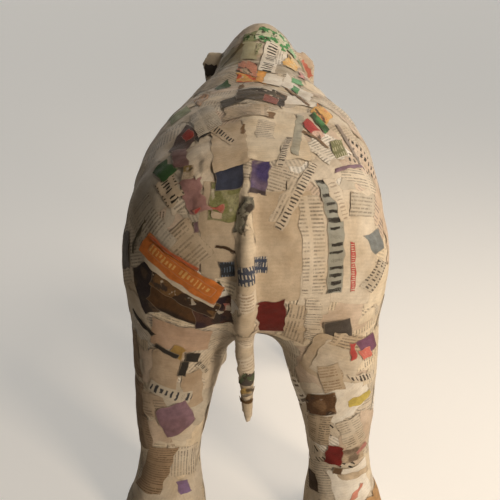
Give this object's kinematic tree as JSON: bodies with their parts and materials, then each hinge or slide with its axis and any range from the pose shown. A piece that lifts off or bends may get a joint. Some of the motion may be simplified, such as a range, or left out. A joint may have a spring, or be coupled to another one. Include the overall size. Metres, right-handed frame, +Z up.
{
  "type": "papier-mache elephant",
  "caption": "Standing papier-mache elephant figure covered in pasted newspaper scraps, with column legs, a hanging trunk and a thin hanging tail.",
  "frame": {"origin": "middle of the footprint box, on the floor under the feet", "axes": "+Z up, +Y from the tail towards the head, +X towards the animal's right side"},
  "size_m": [0.3066, 0.6292, 0.5175],
  "materials": {
    "pasted_newspaper": "torn newsprint pasted in layers, dried paste with a slight sheen"
  },
  "bodies": {
    "root": {"paper_shell": "pasted_newspaper"}
  },
  "joints": []
}
